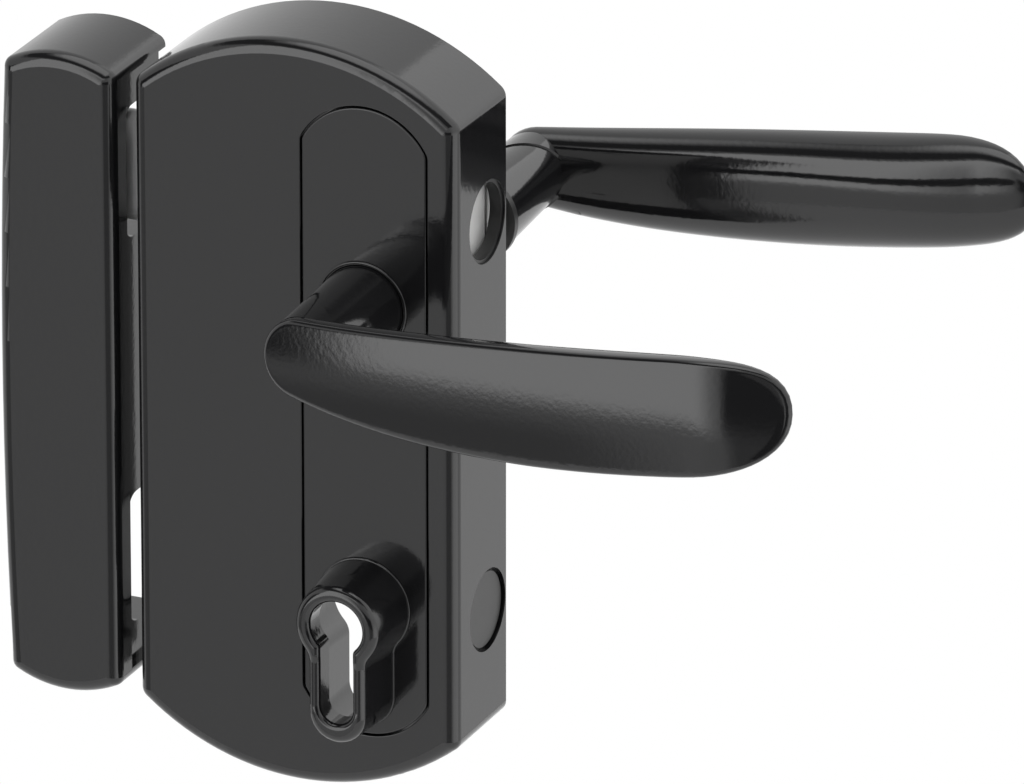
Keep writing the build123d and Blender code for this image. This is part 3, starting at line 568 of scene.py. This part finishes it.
def make_bead(name, node_name, body):
    """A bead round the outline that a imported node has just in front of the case."""
    node = merged_copy(node_name)
    spot = Vector((0, (case_front_y - bead_stand) * MM, 0))
    everything = node.verts[:] + node.edges[:] + node.faces[:]
    cut = bmesh.ops.bisect_plane(node, geom=everything, plane_co=spot, plane_no=(0, 1, 0))["geom_cut"]
    edges = [e for e in cut if isinstance(e, bmesh.types.BMEdge)]
    outer = max(closed_outlines(edges), key=height)
    node.free()
    curve = bpy.data.curves.new(name, "CURVE")
    curve.dimensions = "3D"
    curve.bevel_depth = bead_radius * MM
    curve.bevel_resolution = bead_smoothness
    spline = curve.splines.new("POLY")
    spline.points.add(len(outer) - 1)
    for point, place_on_outline in zip(spline.points, outer):
        point.co = (*place_on_outline, 1)
    spline.use_cyclic_u = True
    bead = new_piece(name, curve, powder_coat)
    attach(bead, body)
    print(name, "points:", len(outer))


make_bead("neck_bead", "handle_bush", "lock")
make_bead("collar_bead", "cylinder_collar", "lock")

# %% [markdown]
# ## Latch spring
# The spring is pressed between the bolt's tail and the bent tab of the plate, which holds its other end,
# and it shortens by the bolt's whole stroke. The bolt would run through a spring that stood still, and a
# spring wound again for each place of the bolt would be many meshes. Here one copy of it gets a mesh of
# its own, and the bolt's stroke is read from the record, but the copy stands still.

# %% Latch spring
coil = merged_copy("latch_spring")
coil_mesh = bpy.data.meshes.new("latch_spring_coil")
for face in coil.faces:
    face.smooth = True
coil.to_mesh(coil_mesh)
coil.free()
spring_piece = new_piece("latch_spring_coil", coil_mesh, spring_steel)
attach(spring_piece, "lock")
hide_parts("latch_spring")
print(spring_piece.name, "faces:", len(coil_mesh.polygons))

# %% The bolt's stroke and the spring's own mesh
latch_joint = next(j for j in frame["record"]["behaviour"]["joints"] if j["name"] == "latch_slide")
latch_stroke = max(latch_joint["range_m"])
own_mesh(spring_piece)

# %% [markdown]
# ## The floor
# A wide disc of white paper lies well below the lock. A plane would do as well, but a disc has no corner
# that a low view could catch.

# %% Floor
floor_radius = 1600.0
floor_sides = 96
floor_z = -900.0
floor_mesh = bpy.data.meshes.new("floor")
disc = bmesh.new()
bmesh.ops.create_circle(disc, cap_ends=True, segments=floor_sides, radius=floor_radius * MM)
bmesh.ops.translate(disc, vec=(0, 0, floor_z * MM), verts=disc.verts)
disc.to_mesh(floor_mesh)
disc.free()
paper = new_material("white_backdrop_paper", {
    "Base Color": linear("#f4f4f4"),
    "Roughness": 0.9,
})[0]
floor = new_piece("floor", floor_mesh, paper)
print("floor", -floor_z, "mm below the handles' axis")

# %% [markdown]
# ## The studio
# Black gloss shows what stands round it more than its own colour, so the surroundings are what is
# modelled here. A white room could be built from lamps and walls, but the world can hold it as soft
# boxes painted on the sky: each has a place, a size and a level, and covers what was painted before. The
# backdrop itself stays plain white.

# %% Directions in the surroundings
world = bpy.data.worlds.new("studio")
bpy.context.scene.world = world
world.use_nodes = True
tree = world.node_tree
tree.nodes.clear()
direction = add_node(tree, "ShaderNodeTexCoord").outputs["Generated"]
axes = add_node(tree, "ShaderNodeSeparateXYZ", links={"Vector": direction}).outputs
to_front = add_node(tree, "ShaderNodeMath", {"operation": "MULTIPLY", 1: -1.0}, {0: axes["Y"]})
azimuth = add_node(tree, "ShaderNodeMath", {"operation": "ARCTAN2"}, {
    0: axes["X"],
    1: to_front.outputs["Value"],
})
elevation = add_node(tree, "ShaderNodeMath", {"operation": "ARCSINE"}, {0: axes["Z"]})


def between(tree, angle, lowest, highest, edge):
    """1 where an angle lies between two others, in degrees, falling to 0 over a soft edge."""
    middle = math.radians((lowest + highest) / 2)
    half = math.radians((highest - lowest) / 2)
    away = add_node(tree, "ShaderNodeMath", {"operation": "SUBTRACT", 1: middle}, {
        0: angle.outputs["Value"],
    })
    away = add_node(tree, "ShaderNodeMath", {"operation": "ABSOLUTE"}, {0: away.outputs["Value"]})
    return add_node(tree, "ShaderNodeMapRange", {
        "interpolation_type": "SMOOTHSTEP",
        "From Min": half + math.radians(edge) / 2,
        "From Max": half - math.radians(edge) / 2,
    }, {"Value": away.outputs["Value"]})


print("made", world.name)

# %% Soft boxes
room_level = 1.0
# Each box: azimuth from the front to the right, elevation, width of its soft edges, level.
soft_boxes = {
    "room behind, on the right": ((60, 200), (0, 100), 40, 1.6),
    "room behind, on the left": ((-200, -60), (0, 100), 40, 0.95),
    "floor in front": ((-70, -29), (-60, -19), 8, 0.42),
    "front box": ((-43, 20), (-15.5, 37), 4, 3.1),
    "fading end of the front box": ((-8, 40), (-28, 30), 24, 0.9),
    "gap above the front box": ((-110, 80), (41, 60), 8, 0.08),
    "overhead box": ((-400, 400), (66, 120), 10, 2.6),
    "dark end of the room, low": ((8, 50), (-48, -12), 14, 0.35),
    "dark end of the room, high": ((4, 54), (-14, 6), 8, 0.05),
    "wall on the left": ((-62, -44), (-17, 16), 5, 0.04),
    "side box": ((62, 112), (-44, -2), 24, 2.0),
}
room = add_node(tree, "ShaderNodeValue")
room.outputs["Value"].default_value = room_level
level = room.outputs["Value"]
for across, upward, edge, strength in soft_boxes.values():
    wide = between(tree, azimuth, *across, edge)
    high = between(tree, elevation, *upward, edge)
    covered = add_node(tree, "ShaderNodeMath", {"operation": "MULTIPLY"}, {
        0: wide.outputs["Result"],
        1: high.outputs["Result"],
    })
    level = add_node(tree, "ShaderNodeMapRange", {"To Max": strength}, {
        "Value": covered.outputs["Value"],
        "To Min": level,
    }).outputs["Result"]
print("soft boxes:", len(soft_boxes))

# %% White backdrop
seen = add_node(tree, "ShaderNodeLightPath").outputs["Is Camera Ray"]
shown = add_node(tree, "ShaderNodeMath", {"operation": "MAXIMUM"}, {0: level, 1: seen})
background = add_node(tree, "ShaderNodeBackground", {"Color": linear("#ffffff")}, {
    "Strength": shown.outputs["Value"],
})
add_node(tree, "ShaderNodeOutputWorld", links={"Surface": background.outputs["Background"]})
bpy.context.scene.view_settings.view_transform = "Standard"
print("view transform:", bpy.context.scene.view_settings.view_transform)
